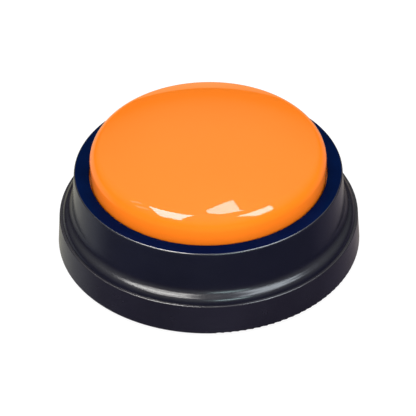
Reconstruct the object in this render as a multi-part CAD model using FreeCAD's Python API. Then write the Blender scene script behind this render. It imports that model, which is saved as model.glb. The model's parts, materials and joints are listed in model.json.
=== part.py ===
"""Round quiz buzzer: a dome push button on a bell-shaped base, with speaker, circuit and two AAA cells.

Millimetres, +Z up, origin on the resting plane under the centre of the base. The front is -Y.
Each function below makes one sub-part, and PARTS at the end names them all.
"""

import math
import os

import FreeCAD
import Part

# Base: a tray that forms the skirt, and an upper cover that forms the cove, the wall and the ring.
SKIRT_RADIUS = 45.04
SKIRT_TOP_RADIUS = 44.32
SKIRT_BOTTOM = 0.8
PARTING = 10.4
FLOOR_BOTTOM = 1.4
FLOOR_TOP = 3.4
TRAY_BORE = 42.3
BULGE_CENTRE = (40.96, 9.86)
BULGE_RADIUS = 2.6
COVE_CENTRE = (43.33, 14.94)
COVE_RADIUS = 3.0
COVER_WALL = 2.0
WALL_TAPER = 5.0
RING_TOP = 25.7
RING_INNER_TOP = 25.4
RING_BORE = 35.0
RING_UNDERSIDE = 23.5
TONGUE = (41.22, 42.2, 8.9)  # inner radius, outer radius, bottom
SKIRT_LOWER_ROUNDING = 0.5
SKIRT_UPPER_ROUNDING = 0.4
RING_OUTER_ROUNDING = 0.6
RING_INNER_ROUNDING = 0.3
BULGE_ARC = (12, 65)
COVE_END = 245
COVER_POST = (3.0, 7.2, 18.4)  # radius, bottom, top
COVER_PILOT = (1.5, 7.2, 16.5)

# Dome button and the carrier screwed inside it. The button travels TRAVEL downwards.
TRAVEL = 3.0
DOME_RADIUS = 34.65
DOME_WALL = 2.0
DOME_SKIRT_BOTTOM = 22.0
FLANGE = (36.4, 1.3)  # radius, thickness
SHOULDER_RADIUS = 5.0
SHOULDER_HEIGHT = 29.5
CROWN_RADIUS = 84.0
CARRIER_RADIUS = 30.5
CARRIER_BOTTOM = 30.0
CARRIER_TOP = 32.0
DOME_BOSSES = (20.0, (30, 150, 270))  # circle radius, angles
DOME_BOSS = (2.8, 36.8)  # radius, top
DOME_PILOT = (1.05, 36.0)
RIB = (4, 24, 1.2, 33.5)  # start, end, width, top
RIB_ANGLES = (0, 90, 120, 210, 240, 330)
PAD_RADIUS = 3.0
PAD_BOTTOM = 27.9
PAD_TOP = 29.4
PAD_SEAT = (4.2, 28.6)  # radius, bottom
GUIDES = (26.0, (90, 210, 330))  # circle radius, angles
GUIDE_PIN_RADIUS = 2.08
GUIDE_BORE = 2.15
GUIDE_TUBE_RADIUS = 2.8
GUIDE_TUBE_TOP = 25.0
SPRING_RADIUS = 3.4
SPRING_WIRE = 0.6
SPRING_TURNS = 6
ARCS_PER_TURN = 8

# Chassis plate over the battery bay, which carries the circuit board.
CHASSIS_RADIUS = 32.4
CHASSIS_BOTTOM = 16.1
CHASSIS_TOP = 17.7
CHASSIS_POSTS = ((29.2, -3.0), (-29.2, -3.0), (20.8, 20.8), (-20.8, 20.8))
BOARD = (-17.0, 17.0, -14.0, 18.0)
BOARD_BOTTOM = 19.2
BOARD_TOP = 20.8
BOARD_SCREWS = ((14.5, -11.5), (-14.5, -11.5), (14.5, 15.5), (-14.5, 15.5))
TACT_SIZE = 6.0
TACT_TOP = 24.0
TACT_BUTTON = (1.7, 23.2, 25.1)  # radius, bottom, top

# Battery bay for two AAA cells side by side, and its door.
BAY = (-25.0, 25.0, -25.0, -3.0)
BAY_WALL = 1.2
BAY_CEILING = 14.5
BAY_ROOF = 15.7
CELL_RADIUS = 5.25
CELL_LENGTH = 44.5
CELL_HEIGHT = 8.85
CELL_ROWS = (-8.6, -19.4)
CELL_END = 24.4
CONTACT_THICKNESS = 0.4
CONTACT_TAILS = (-8.6, -17.4)
CONTACT_TAIL_TOP = 19.0
DOOR_SCREW = (28.8, -14.0)
DOOR_GAP = 0.2
TAB = (-15.6, -12.4)

# Speaker, power switch, and the four places where a case screw sits above a foot.
SPEAKER_Y = 16.0
SPEAKER_RADIUS = 14.0
SPEAKER_SEAT = 4.2
FLANGE_TOP = 4.8
BASKET_BACK = 8.8
RETAINER_TOP = 6.0
GRILLE_HOLE = 0.9
GRILLE_ROWS = ((3.0, 6), (6.0, 12), (9.0, 18))  # circle radius, holes
RETAINER_SCREWS = ((18.0, SPEAKER_Y), (-18.0, SPEAKER_Y))
SWITCH = (28.5, 9.5)
SWITCH_TRAVEL = 2.6
SWITCH_SCREWS = ((28.5, 3.65), (28.5, 15.35))
SWITCH_TERMINALS = (7.0, 9.5, 12.0)
SWITCH_BODY = (4.4, 9.2, 7.6)  # width, length, top
SWITCH_POCKET = (5.8, 9.2, 2.6)
SWITCH_SLOT = (2.2, 5.2)
TERMINAL_TOP = 11.4
CASE_SCREWS = ((36.0, 0.0), (0.0, 36.0), (-36.0, 0.0), (0.0, -36.0))
FOOT_RADIUS = 5.0
FOOT_TOP = 2.3

WIRE_RADIUS = 0.6
TINY = 1e-6
X_AXIS = FreeCAD.Vector(1, 0, 0)
Y_AXIS = FreeCAD.Vector(0, 1, 0)
Z_AXIS = FreeCAD.Vector(0, 0, 1)
ORIGIN = FreeCAD.Vector(0, 0, 0)


# Helpers: simple solids, outlines in the radius-height plane, and groups.

def vec(x, y, z):
    return FreeCAD.Vector(x, y, z)


def disc(radius, low, high, x=0.0, y=0.0):
    return Part.makeCylinder(radius, high - low, vec(x, y, low))


def ring(outer, inner, low, high, x=0.0, y=0.0):
    return disc(outer, low, high, x, y).cut(disc(inner, low, high, x, y))


def block(x_low, x_high, y_low, y_high, z_low, z_high):
    size = (x_high - x_low, y_high - y_low, z_high - z_low)
    return Part.makeBox(*size, vec(x_low, y_low, z_low))


def centred_block(x, y, width, depth, low, high):
    return block(x - width / 2, x + width / 2, y - depth / 2, y + depth / 2, low, high)


def polar(radius, degrees):
    turn = math.radians(degrees)
    return radius * math.cos(turn), radius * math.sin(turn)


def around(radius, angles):
    return [polar(radius, angle) for angle in angles]


def fuse(first, *others):
    return first.multiFuse(list(others)).removeSplitter()


def cut(shape, *tools):
    return shape.cut(Part.makeCompound(list(tools)))


def at(radius, height):
    return vec(radius, 0, height)


def arc(centre, radius, start, end):
    """Arc in the radius-height plane, from one angle to another in degrees."""
    points = []
    for angle in (start, (start + end) / 2, end):
        across, up = polar(radius, angle)
        points.append(at(centre[0] + across, centre[1] + up))
    return Part.Arc(*points).toShape()


def rounded(before, corner, after, radius):
    """Arc of the given radius that rounds the corner between two straight lines."""
    inward = (before - corner).normalize()
    outward = (after - corner).normalize()
    half = inward.getAngle(outward) / 2
    reach = radius / math.tan(half)
    middle = (inward + outward).normalize()
    start = corner + inward * reach
    end = corner + outward * reach
    top = corner + middle * (radius / math.sin(half) - radius)
    return Part.Arc(start, top, end).toShape()


def revolved(*items):
    """Solid of revolution about Z. Points and arcs are joined in order by straight lines."""
    ends = [(item.Vertexes[0].Point, item.Vertexes[-1].Point) if isinstance(item, Part.Shape)
            else (item, item) for item in items]
    edges = []
    for index, item in enumerate(items):
        if isinstance(item, Part.Shape):
            edges.append(item)
        start = ends[index][1]
        end = ends[(index + 1) % len(items)][0]
        if start.distanceToPoint(end) > TINY:
            edges.append(Part.LineSegment(start, end).toShape())
    return Part.Face(Part.Wire(edges)).revolve(ORIGIN, Z_AXIS, 360)


def tube_along(points, radius):
    """Round wire through a list of points, as straight runs joined by tangent arcs."""
    edges = []
    pen = points[0]
    for before, corner, after in zip(points, points[1:], points[2:]):
        inward = (before - corner).normalize()
        outward = (after - corner).normalize()
        half = inward.getAngle(outward) / 2
        shorter = min(before.distanceToPoint(corner), after.distanceToPoint(corner))
        reach = 0.45 * shorter
        bend = reach * math.tan(half)
        middle = (inward + outward).normalize()
        start = corner + inward * reach
        top = corner + middle * (bend / math.sin(half) - bend)
        end = corner + outward * reach
        edges.append(Part.LineSegment(pen, start).toShape())
        edges.append(Part.Arc(start, top, end).toShape())
        pen = end
    edges.append(Part.LineSegment(pen, points[-1]).toShape())
    path = Part.Wire(edges)
    section = Part.Wire(Part.makeCircle(radius, points[0], points[1] - points[0]))
    tube = path.makePipeShell([section], True, False)
    expected = math.pi * radius ** 2 * path.Length
    if abs(tube.Volume / expected - 1) > 0.01:
        raise ValueError("a wire's volume differs from its section times its length")
    return tube


def coil(radius, wire_radius, height, turns):
    """Helical spring standing on the origin plane, as a chain of short tangent arcs of wire."""
    rise = height - 2 * wire_radius
    count = turns * ARCS_PER_TURN
    step = 360 / ARCS_PER_TURN
    outer = radius / math.cos(math.radians(step / 2))
    corners = [vec(*polar(outer, step * index), wire_radius + rise * index / count)
               for index in range(count + 1)]
    joints = [(start + end) * 0.5 for start, end in zip(corners, corners[1:])]
    pieces = []
    for start, corner, end in zip(joints, corners[1:], joints[1:]):
        inward = (corner - start).normalize()
        outward = (end - corner).normalize()
        turn = inward.getAngle(outward)
        axis = inward.cross(outward).normalize()
        centre = start + axis.cross(inward) * (start.distanceToPoint(corner) / math.tan(turn / 2))
        section = Part.Face(Part.Wire(Part.makeCircle(wire_radius, start, inward)))
        pieces.append(section.revolve(centre, axis, math.degrees(turn)))
    return pieces[0].multiFuse(pieces[1:]).Solids[0]


def screw(place, seat, head, shank, down=True):
    """Pan-head screw with a cross recess. head and shank are (radius, length)."""
    body = disc(head[0], 0, head[1]).fuse(disc(shank[0], -shank[1], 0))
    top_edges = [edge for edge in body.Edges if abs(edge.CenterOfMass.z - head[1]) < TINY]
    body = body.makeFillet(min(0.35, head[1] * 0.3), top_edges)
    slot_depth = head[1] * 0.5
    for width, depth in ((head[0] * 1.1, head[0] * 0.28), (head[0] * 0.28, head[0] * 1.1)):
        body = body.cut(centred_block(0, 0, width, depth, head[1] - slot_depth, head[1] + 1))
    if not down:
        body.rotate(ORIGIN, X_AXIS, 180)
    body.translate(vec(place[0], place[1], seat))
    return body


# Housings.

def lower_housing():
    """Tray: skirt, floor, bosses, battery bay, speaker grille and switch pocket."""
    foot_inner = at(TRAY_BORE + 0.3, SKIRT_BOTTOM)
    foot = at(SKIRT_RADIUS, SKIRT_BOTTOM)
    top = at(SKIRT_TOP_RADIUS, PARTING)
    rim = at(TRAY_BORE, PARTING)
    body = revolved(at(0, FLOOR_BOTTOM), at(TRAY_BORE + 0.3, FLOOR_BOTTOM), foot_inner,
                    rounded(foot_inner, foot, top, SKIRT_LOWER_ROUNDING),
                    rounded(foot, top, rim, SKIRT_UPPER_ROUNDING), rim,
                    at(TRAY_BORE, FLOOR_TOP), at(0, FLOOR_TOP))
    x_low, x_high, y_low, y_high = BAY
    bay_shell = block(x_low - BAY_WALL, x_high + BAY_WALL, y_low - BAY_WALL, y_high + BAY_WALL,
                      FLOOR_BOTTOM, BAY_ROOF)
    screw_x, screw_y = DOOR_SCREW
    added = [bay_shell,
             block(x_high - 1, screw_x + 4.7, screw_y - 5.2, screw_y + 5.2, FLOOR_TOP - 0.1, 4.5),
             disc(3.2, FLOOR_TOP, 9.0, screw_x, screw_y),
             ring(SPEAKER_RADIUS + 1.3, SPEAKER_RADIUS + 0.3, FLOOR_TOP, 4.8, 0, SPEAKER_Y)]
    added += [disc(4.4, FLOOR_TOP, 7.1, x, y) for x, y in CASE_SCREWS]
    added += [disc(2.6, FLOOR_TOP, CHASSIS_BOTTOM, x, y) for x, y in CHASSIS_POSTS]
    added += [disc(2.2, FLOOR_TOP, 4.8, x, y) for x, y in RETAINER_SCREWS]
    body = fuse(body, *added)
    removed = [block(x_low, x_high, y_low, y_high, 0, BAY_CEILING),
               block(x_high - 1, screw_x + 3.8, screw_y - 4.2, screw_y + 4.2, 0, FLOOR_TOP - 0.1),
               disc(1.5, 0, 9.5, screw_x, screw_y),
               block(x_low - BAY_WALL - 1, x_low + 1, TAB[0] - 0.4, TAB[1] + 0.4, FLOOR_TOP, 6.2)]
    tail_x = x_high - CONTACT_THICKNESS + 0.05
    removed += [centred_block(tail_x, y, 0.8, 2.6, BAY_CEILING - 1, BAY_ROOF + 1) for y in CONTACT_TAILS]
    for x, y in CASE_SCREWS:
        removed += [disc(1.7, 0, 8, x, y), disc(3.0, 0, 4.5, x, y)]
        removed.append(disc(FOOT_RADIUS + 0.05, 0, FOOT_TOP, x, y))
    removed += [disc(1.05, CHASSIS_BOTTOM - 8, CHASSIS_BOTTOM + 1, x, y) for x, y in CHASSIS_POSTS]
    removed += [disc(1.0, 2.4, 5, x, y) for x, y in RETAINER_SCREWS]
    removed += [disc(0.75, 2.3, FLOOR_TOP + 1, x, y) for x, y in SWITCH_SCREWS]
    removed += grille_holes()
    removed += switch_pocket()
    return fuse(cut(body, *removed), *switch_marks())


def grille_holes():
    """Rings of sound holes under the speaker cone."""
    holes = [disc(GRILLE_HOLE, 0, FLOOR_TOP + 1, 0, SPEAKER_Y)]
    for radius, count in GRILLE_ROWS:
        for index in range(count):
            x, y = polar(radius, 360 * index / count)
            holes.append(disc(GRILLE_HOLE, 0, FLOOR_TOP + 1, x, SPEAKER_Y + y))
    return holes


def switch_pocket():
    """Sunk pocket for the slide knob, with a slot for its stem."""
    x, y = SWITCH
    width, length, depth = SWITCH_POCKET
    slot = centred_block(x, y, *SWITCH_SLOT, 2, FLOOR_TOP + 1)
    return [centred_block(x, y, width, length, 0, depth), slot]


def switch_marks():
    """Raised ring for off and bar for on, either side of the pocket."""
    x, y = SWITCH
    off_mark = ring(1.0, 0.6, FLOOR_BOTTOM - 0.2, FLOOR_BOTTOM, x, y - 6.6)
    on_mark = centred_block(x, y + 6.6, 0.4, 2.0, FLOOR_BOTTOM - 0.2, FLOOR_BOTTOM)
    return [off_mark, on_mark]


def cover_wall_point(radius_of_cove, height):
    """Point on the tapered wall line that leaves the cove arc of the given radius."""
    across, up = polar(radius_of_cove, 180 + WALL_TAPER)
    foot_radius = COVE_CENTRE[0] + across
    foot_height = COVE_CENTRE[1] + up
    return at(foot_radius - (height - foot_height) * math.tan(math.radians(WALL_TAPER)), height)


def upper_housing():
    """Cover: bulge, cove, tapered wall and the polished ring around the button."""
    tongue_inner, tongue_outer, tongue_bottom = TONGUE
    inner_radius = COVE_RADIUS + COVER_WALL
    inner_turn = math.degrees(math.acos((COVE_CENTRE[0] - tongue_inner) / inner_radius))
    edge = cover_wall_point(COVE_RADIUS, RING_TOP)
    lip = at(RING_BORE, RING_INNER_TOP)
    wall = cover_wall_point(COVE_RADIUS, PARTING + COVE_RADIUS * 2)
    body = revolved(at(tongue_outer, tongue_bottom), at(tongue_outer, PARTING),
                    arc(BULGE_CENTRE, BULGE_RADIUS, *BULGE_ARC),
                    arc(COVE_CENTRE, COVE_RADIUS, COVE_END, 180 + WALL_TAPER),
                    rounded(wall, edge, lip, RING_OUTER_ROUNDING),
                    rounded(edge, lip, at(RING_BORE, RING_UNDERSIDE), RING_INNER_ROUNDING),
                    at(RING_BORE, RING_UNDERSIDE),
                    cover_wall_point(inner_radius, RING_UNDERSIDE),
                    arc(COVE_CENTRE, inner_radius, 180 + WALL_TAPER, 180 + inner_turn),
                    at(tongue_inner, tongue_bottom))
    posts = [disc(*COVER_POST, x, y) for x, y in CASE_SCREWS]
    holes = [disc(*COVER_PILOT, x, y) for x, y in CASE_SCREWS]
    return cut(fuse(body, *posts), *holes)


# Dome button and what moves with it.

def dome_button():
    """Glossy crowned shell with a stop flange at its foot and three screw bosses inside."""
    shoulder = (DOME_RADIUS - SHOULDER_RADIUS, SHOULDER_HEIGHT)
    reach = CROWN_RADIUS - SHOULDER_RADIUS
    crown = (0, SHOULDER_HEIGHT - math.sqrt(reach ** 2 - shoulder[0] ** 2))
    turn = math.degrees(math.atan2(shoulder[1] - crown[1], shoulder[0]))
    flange_radius, flange_height = FLANGE
    inner_wall = DOME_RADIUS - DOME_WALL
    body = revolved(at(inner_wall, DOME_SKIRT_BOTTOM), at(flange_radius, DOME_SKIRT_BOTTOM),
                    at(flange_radius, DOME_SKIRT_BOTTOM + flange_height),
                    at(DOME_RADIUS, DOME_SKIRT_BOTTOM + flange_height),
                    arc(shoulder, SHOULDER_RADIUS, 0, turn),
                    arc(crown, CROWN_RADIUS, turn, 90),
                    arc(crown, CROWN_RADIUS - DOME_WALL, 90, turn),
                    arc(shoulder, SHOULDER_RADIUS - DOME_WALL, turn, 0))
    bosses = [disc(DOME_BOSS[0], CARRIER_TOP, DOME_BOSS[1], x, y) for x, y in around(*DOME_BOSSES)]
    pilots = [disc(DOME_PILOT[0], CARRIER_TOP, DOME_PILOT[1], x, y) for x, y in around(*DOME_BOSSES)]
    return cut(fuse(body, *bosses), *pilots)


def dome_carrier():
    """Ribbed disc with three guide pins, screwed up into the dome."""
    added = [disc(GUIDE_PIN_RADIUS, 21, CARRIER_BOTTOM + 0.5, x, y) for x, y in around(*GUIDES)]
    added += [disc(2.9, 29, CARRIER_BOTTOM + 0.5, x, y) for x, y in around(*GUIDES)]
    added.append(disc(*PAD_SEAT, CARRIER_BOTTOM + 0.5))
    rib_start, rib_end, rib_width, rib_top = RIB
    for angle in RIB_ANGLES:
        rib = block(rib_start, rib_end, -rib_width / 2, rib_width / 2, CARRIER_TOP - 0.5, rib_top)
        rib.rotate(ORIGIN, Z_AXIS, angle)
        added.append(rib)
    body = fuse(disc(CARRIER_RADIUS, CARRIER_BOTTOM, CARRIER_TOP), *added)
    removed = [disc(1.3, 29, 34, x, y) for x, y in around(*DOME_BOSSES)]
    removed.append(disc(PAD_RADIUS + 0.05, 28, PAD_TOP))
    return cut(body, *removed)


def striker_pad():
    """Rubber pad that presses the tact switch."""
    base, rim, top = at(0, PAD_BOTTOM), at(PAD_RADIUS, PAD_BOTTOM), at(PAD_RADIUS, PAD_TOP)
    return revolved(base, rounded(base, rim, top, 0.4), top, at(0, PAD_TOP))


def carrier_screws():
    places = around(*DOME_BOSSES)
    return [screw(place, CARRIER_BOTTOM, (2.0, 1.5), (1.0, 5.0), down=False) for place in places]


def return_spring(place):
    spring = coil(SPRING_RADIUS, SPRING_WIRE / 2, CARRIER_BOTTOM - CHASSIS_TOP, SPRING_TURNS)
    spring.translate(vec(place[0], place[1], CHASSIS_TOP))
    return spring


# Chassis plate and circuit board.

def chassis_plate():
    """Plate with guide tubes for the button, standoffs for the board, and windows for the wires."""
    added = [disc(GUIDE_TUBE_RADIUS, CHASSIS_BOTTOM, GUIDE_TUBE_TOP, x, y) for x, y in around(*GUIDES)]
    added += [disc(2.2, CHASSIS_BOTTOM, BOARD_BOTTOM, x, y) for x, y in BOARD_SCREWS]
    body = fuse(disc(CHASSIS_RADIUS, CHASSIS_BOTTOM, CHASSIS_TOP), *added)
    low, high = CHASSIS_BOTTOM - 1, GUIDE_TUBE_TOP + 1
    removed = [disc(GUIDE_BORE, low, high, x, y) for x, y in around(*GUIDES)]
    removed += [disc(1.2, low, high, x, y) for x, y in CHASSIS_POSTS]
    removed += [disc(0.9, CHASSIS_BOTTOM + 0.4, high, x, y) for x, y in BOARD_SCREWS]
    tail_x = CELL_END + 0.05 + CONTACT_THICKNESS / 2
    removed += [centred_block(tail_x, y, 1.0, 2.8, low, high) for y in CONTACT_TAILS]
    removed += [block(-8, 8, 18.8, 21.8, low, high), block(27, 30, 5.6, 11, low, high)]
    return cut(body, *removed)


def chassis_screws():
    return [screw(place, CHASSIS_TOP, (2.1, 1.5), (1.0, 8.0)) for place in CHASSIS_POSTS]


def circuit_board():
    board = block(*BOARD, BOARD_BOTTOM, BOARD_TOP)
    corners = [edge for edge in board.Edges if abs(edge.tangentAt(0).z) > 0.5]
    board = board.makeFillet(1.5, corners)
    return cut(board, *[disc(1.1, BOARD_BOTTOM - 1, BOARD_TOP + 1, x, y) for x, y in BOARD_SCREWS])


def board_screws():
    return [screw(place, BOARD_TOP, (1.9, 1.2), (0.85, 3.9)) for place in BOARD_SCREWS]


def sound_chip():
    """Blob of black resin over the sound chip."""
    radius, height = 4.5, 1.5
    sphere = (radius ** 2 + height ** 2) / (2 * height)
    edge = math.degrees(math.asin((sphere - height) / sphere))
    blob = revolved(at(0, BOARD_TOP), arc((0, BOARD_TOP + height - sphere), sphere, edge, 90))
    blob.translate(vec(0, 9, 0))
    return blob


def capacitor():
    """Small electrolytic can with a crimped neck."""
    radius, height = 2.5, 4.8
    can = revolved(at(0, BOARD_TOP), at(radius, BOARD_TOP), at(radius, BOARD_TOP + 0.8),
                   at(radius - 0.3, BOARD_TOP + 1.1), at(radius, BOARD_TOP + 1.4),
                   rounded(at(radius, BOARD_TOP + 1.4), at(radius, BOARD_TOP + height),
                           at(0, BOARD_TOP + height), 0.4),
                   at(0, BOARD_TOP + height))
    can.translate(vec(-10, 5, 0))
    return can


def resistors():
    """Chip resistors and capacitors, in a row each side of the board's centre."""
    body, spacing = (2.0, 1.2, 0.6), 3.0
    chips = []
    for x, first_y, count in ((-12.5, -6.0, 3), (-7.0, -9.0, 3), (7.0, -9.0, 4)):
        for index in range(count):
            y = first_y + spacing * index
            chips.append(centred_block(x, y, body[0], body[1], BOARD_TOP, BOARD_TOP + body[2]))
    return chips


def driver_transistor():
    """Half-round transistor on three legs, which drives the speaker."""
    x, y = 9.0, 9.0
    body = disc(2.3, BOARD_TOP + 0.8, BOARD_TOP + 4.6, x, y)
    body = body.cut(block(x - 3, x + 3, y + 1.3, y + 3, BOARD_TOP, BOARD_TOP + 6))
    feet = BOARD_TOP, BOARD_TOP + 1.2
    legs = [centred_block(x + offset, y, 0.45, 0.45, *feet) for offset in (-1.27, 0, 1.27)]
    return fuse(body, *legs)


def tact_switch_base():
    body = centred_block(0, 0, TACT_SIZE, TACT_SIZE, BOARD_TOP, TACT_TOP)
    return cut(body, disc(TACT_BUTTON[0] + 0.1, TACT_BUTTON[1] - 0.3, TACT_TOP + 1))


def tact_switch_cover():
    """Sheet-metal cover with a rivet at each corner."""
    plate = centred_block(0, 0, TACT_SIZE, TACT_SIZE, TACT_TOP, TACT_TOP + 0.3)
    inset = TACT_SIZE / 2 - 0.8
    corners = [(x, y) for x in (-inset, inset) for y in (-inset, inset)]
    rivets = [disc(0.4, TACT_TOP + 0.2, TACT_TOP + 0.5, x, y) for x, y in corners]
    return fuse(plate.cut(disc(TACT_BUTTON[0] + 0.15, TACT_TOP - 1, TACT_TOP + 1)), *rivets)


def tact_switch_actuator():
    return disc(*TACT_BUTTON)


# Speaker.

def on_speaker(shape):
    shape.translate(vec(0, SPEAKER_Y, 0))
    return shape


def speaker_gasket():
    return ring(SPEAKER_RADIUS, 11.6, FLOOR_TOP, SPEAKER_SEAT, 0, SPEAKER_Y)


def speaker_frame():
    """Pressed basket: flat flange, sloping side and back plate."""
    back_inside = BASKET_BACK - 0.6
    return on_speaker(revolved(at(SPEAKER_RADIUS, SPEAKER_SEAT), at(SPEAKER_RADIUS, FLANGE_TOP),
                               at(12.6, FLANGE_TOP), at(9.6, BASKET_BACK), at(0, BASKET_BACK),
                               at(0, back_inside), at(9.1, back_inside), at(11.9, SPEAKER_SEAT)))


def speaker_cone():
    """Thin cone with a domed centre."""
    under = [(0, 5.4), (3.2, 6.6), (11.4, 4.3)]
    over = [(radius, height + 0.4) for radius, height in reversed(under)]
    return on_speaker(revolved(*[at(*point) for point in under + over]))


def speaker_magnet():
    radius, top = 7.5, 12.0
    side, edge = at(radius, BASKET_BACK), at(radius, top)
    return on_speaker(revolved(at(0, BASKET_BACK), side, rounded(side, edge, at(0, top), 0.5), at(0, top)))


def speaker_retainer():
    """Ring with two ears that clamps the speaker's flange."""
    low, high = FLANGE_TOP, RETAINER_TOP
    outer = disc(15.0, low, high, 0, SPEAKER_Y)
    bar = centred_block(0, SPEAKER_Y, 36, 4.4, low, high)
    ears = [disc(2.2, low, high, x, y) for x, y in RETAINER_SCREWS]
    holes = [disc(1.1, 4, 7, x, y) for x, y in RETAINER_SCREWS]
    return cut(fuse(outer, bar, *ears), disc(13.2, 4, 7, 0, SPEAKER_Y), *holes)


def retainer_screws():
    return [screw(place, RETAINER_TOP, (1.7, 1.2), (0.95, 3.5)) for place in RETAINER_SCREWS]


# Battery bay.

def battery_door():
    """Flat door with one hook at its hinge side and an ear for the captive screw."""
    x_low, x_high, y_low, y_high = BAY
    top = FLOOR_TOP - DOOR_GAP
    hinge_edge = x_low + 0.4
    plate = block(hinge_edge, x_high - DOOR_GAP, y_low + DOOR_GAP, y_high - DOOR_GAP, FLOOR_BOTTOM, top)
    chamfer = Part.makePolygon([vec(hinge_edge, 0, FLOOR_BOTTOM), vec(hinge_edge + 1.6, 0, FLOOR_BOTTOM),
                                vec(hinge_edge, 0, 3.0), vec(hinge_edge, 0, FLOOR_BOTTOM)])
    wedge = Part.Face(chamfer).extrude(vec(0, y_high - y_low, 0))
    wedge.translate(vec(0, y_low, 0))
    screw_x, screw_y = DOOR_SCREW
    ear = block(x_high - 1, screw_x + 3.6, screw_y - 4, screw_y + 4, FLOOR_BOTTOM, top)
    riser = block(hinge_edge, -23.4, TAB[0], TAB[1], top - 0.2, 5.0)
    hook = block(-27.0, -23.4, TAB[0], TAB[1], FLOOR_TOP + 0.2, 5.0)
    body = fuse(plate.cut(wedge), ear, riser, hook)
    grips = [block(x, x + 0.8, -17, -11, 1, FLOOR_BOTTOM + 0.4) for x in (15.0, 16.8, 18.6, 20.4)]
    return cut(body, disc(1.35, 0, 4, screw_x, screw_y), disc(2.6, 0, 2.5, screw_x, screw_y), *grips)


def door_screw():
    return screw(DOOR_SCREW, 2.5, (2.4, 1.0), (1.2, 4.5), down=False)


def battery(row, sign):
    """AAA cell along X. Its button end points to +X when sign is 1."""
    can = CELL_LENGTH - 0.8
    cell = revolved(at(0, 0), rounded(at(0, 0), at(CELL_RADIUS, 0), at(CELL_RADIUS, can), 0.5),
                    rounded(at(CELL_RADIUS, 0), at(CELL_RADIUS, can), at(0, can), 0.5),
                    at(1.9, can), at(1.9, CELL_LENGTH), at(0, CELL_LENGTH))
    cell.rotate(ORIGIN, Y_AXIS, 90 * sign)
    cell.translate(vec(sign * (CELL_END - CELL_LENGTH), row, CELL_HEIGHT))
    return cell


def contact_plate(side, y_low, y_high, z_low=5.4):
    """Nickelled plate against the end wall of the bay on the given side."""
    inner = side * (CELL_END + 0.05)
    outer = inner + side * CONTACT_THICKNESS
    return block(min(inner, outer), max(inner, outer), y_low, y_high, z_low, 13.2)


def contact_tail(y):
    inner = CELL_END + 0.05
    return block(inner, inner + CONTACT_THICKNESS, y - 1.0, y + 1.0, 13.0, CONTACT_TAIL_TOP)


def contact_spring(side, row):
    """Coil that presses on the flat end of a cell."""
    length = CELL_LENGTH - 2 * (CELL_LENGTH - CELL_END) - 0.05
    spring = coil(2.6, 0.25, length, 4)
    spring.rotate(ORIGIN, Y_AXIS, -90 * side)
    spring.translate(vec(side * (CELL_END + 0.02), row, CELL_HEIGHT))
    return spring


def contact_positive():
    row = CELL_ROWS[0]
    return fuse(contact_plate(1, row - 4.3, row + 4.3), contact_tail(CONTACT_TAILS[0]))


def contact_negative():
    row = CELL_ROWS[1]
    plate = fuse(contact_plate(1, row - 4.3, row + 4.3), contact_tail(CONTACT_TAILS[1]))
    return [plate, contact_spring(1, row)]


def contact_bridge():
    low, high = CELL_ROWS[1] - 4.3, CELL_ROWS[0] + 4.3
    return [contact_plate(-1, low, high, z_low=6.2), contact_spring(-1, CELL_ROWS[0])]


# Power switch.

def power_switch_frame():
    """Folded metal can with a screw ear at each end."""
    x, y = SWITCH
    width, length, top = SWITCH_BODY
    body = centred_block(x, y, width, length, FLOOR_TOP, top)
    ears = centred_block(x, y, width, length + 5, FLOOR_TOP, 4.2)
    cavity = centred_block(x, y, 2.4, 5.4, FLOOR_TOP - 1, 5.2)
    return cut(fuse(body, ears), cavity, *[disc(0.9, 3, 5, a, b) for a, b in SWITCH_SCREWS])


def power_switch_base():
    """Insulating base of the switch with its three terminals."""
    x, y = SWITCH
    width, length, low = SWITCH_BODY
    terminals = [centred_block(x, place, 0.5, 1.4, 9.0, TERMINAL_TOP) for place in SWITCH_TERMINALS]
    return fuse(centred_block(x, y, width, length, low, low + 2), *terminals)


def power_switch_screws():
    return [screw(place, 4.2, (1.15, 0.9), (0.7, 1.7)) for place in SWITCH_SCREWS]


def power_switch_knob():
    """Slide knob at its off end, with finger ribs on the face."""
    x, y = SWITCH[0], SWITCH[1] - SWITCH_TRAVEL / 2
    head = centred_block(x, y, 3.8, 4.4, 1.5, 2.5)
    stem = centred_block(x, y, 1.6, 2.0, 2.4, 4.6)
    grooves = [centred_block(x, y + offset, 5, 0.5, 1.0, 1.9) for offset in (-1.2, 0, 1.2)]
    return cut(fuse(head, stem), *grooves)


# Case screws and feet.

def case_screws():
    return [screw(place, 4.5, (2.7, 1.8), (1.45, 11.4), down=False) for place in CASE_SCREWS]


def foot(place):
    """Rubber foot in its recess, over a case screw."""
    body = revolved(at(0, 0), rounded(at(0, 0), at(FOOT_RADIUS, 0), at(FOOT_RADIUS, FOOT_TOP), 0.5),
                    at(FOOT_RADIUS, FOOT_TOP), at(0, FOOT_TOP))
    body.translate(vec(place[0], place[1], 0))
    return body


# Wires. Each route starts on a terminal and ends upright on the board.

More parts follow.
